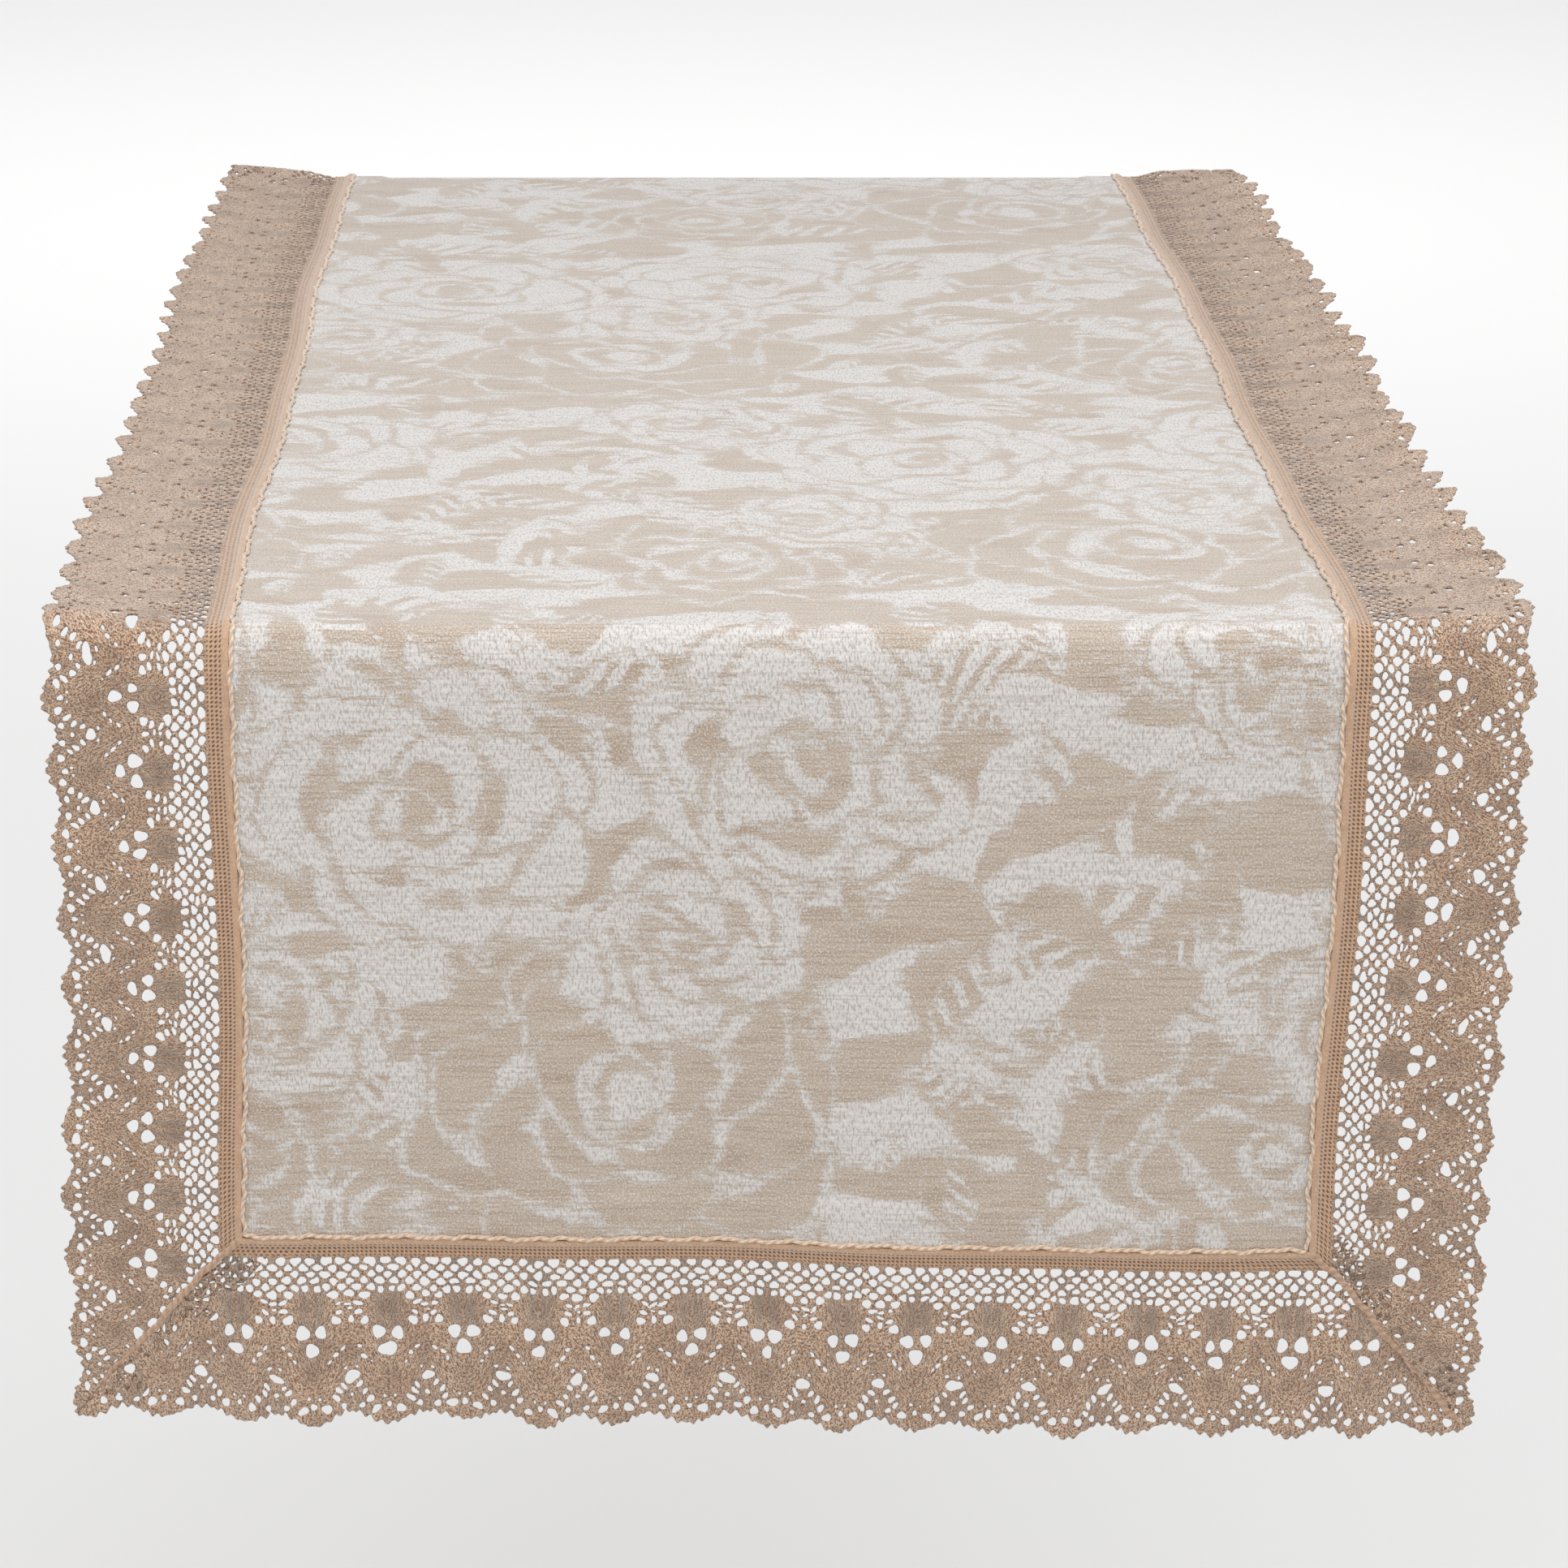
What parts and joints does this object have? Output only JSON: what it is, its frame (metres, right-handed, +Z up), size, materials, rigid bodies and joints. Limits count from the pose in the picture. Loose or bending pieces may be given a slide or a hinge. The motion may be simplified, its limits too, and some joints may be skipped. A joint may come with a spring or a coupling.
{
  "type": "table runner",
  "caption": "Rectangular jacquard runner edged with scalloped bobbin lace, draped over a table top so that both ends hang down.",
  "frame": {"origin": "centre of the flat stretch's underside, on the face that rests on the table", "axes": "+Z up, +Y along the runner towards the back drop, +X across it to the right as seen from the front"},
  "size_m": [0.406, 0.5734, 0.2442],
  "materials": {
    "jacquard": "tone-on-tone satin jacquard of roses and leaves in white on beige",
    "jacquard_reverse": "reverse face of the jacquard, matt",
    "heading_band": "open plain weave, matt",
    "lace": "twisted cotton bobbin lace, matt",
    "sewing_thread": "twisted sewing cotton"
  },
  "bodies": {
    "flat_stretch": {"panel_top": "jacquard", "hem_left_top": "jacquard_reverse", "hem_right_top": "jacquard_reverse", "band_left_top": "heading_band", "band_right_top": "heading_band", "lace_left_top": "lace", "lace_right_top": "lace", "stitches_left_top": "sewing_thread", "stitches_right_top": "sewing_thread", "panel_fold_front": "jacquard", "lace_fold_left_front": "lace", "lace_fold_right_front": "lace", "panel_fold_back": "jacquard", "lace_fold_left_back": "lace", "lace_fold_right_back": "lace"},
    "front_drop": {"panel_front": "jacquard", "hem_left_front": "jacquard_reverse", "hem_right_front": "jacquard_reverse", "hem_end_front": "jacquard_reverse", "band_left_front": "heading_band", "band_right_front": "heading_band", "band_end_front": "heading_band", "lace_left_front": "lace", "lace_right_front": "lace", "lace_end_front": "lace", "stitches_left_front": "sewing_thread", "stitches_right_front": "sewing_thread", "stitches_end_front": "sewing_thread", "allowance_left_front": "lace", "allowance_right_front": "lace", "mitre_seam_left_front": "sewing_thread", "mitre_seam_right_front": "sewing_thread"},
    "back_drop": {"panel_back": "jacquard", "hem_left_back": "jacquard_reverse", "hem_right_back": "jacquard_reverse", "hem_end_back": "jacquard_reverse", "band_left_back": "heading_band", "band_right_back": "heading_band", "band_end_back": "heading_band", "lace_left_back": "lace", "lace_right_back": "lace", "lace_end_back": "lace", "stitches_left_back": "sewing_thread", "stitches_right_back": "sewing_thread", "stitches_end_back": "sewing_thread", "allowance_left_back": "lace", "allowance_right_back": "lace", "mitre_seam_left_back": "sewing_thread", "mitre_seam_right_back": "sewing_thread"}
  },
  "joints": [
    {"name": "front_fold_hinge", "type": "hinge", "parent": "flat_stretch", "child": "front_drop", "pos_m": [0, -0.2841, -0.0004], "axis": [-1, 0, 0], "range_deg": [0, 90], "deforming": ["panel_fold_front", "lace_fold_left_front", "lace_fold_right_front"]},
    {"name": "back_fold_hinge", "type": "hinge", "parent": "flat_stretch", "child": "back_drop", "pos_m": [0, 0.2841, -0.0004], "axis": [1, 0, 0], "range_deg": [0, 90], "deforming": ["panel_fold_back", "lace_fold_left_back", "lace_fold_right_back"]}
  ]
}
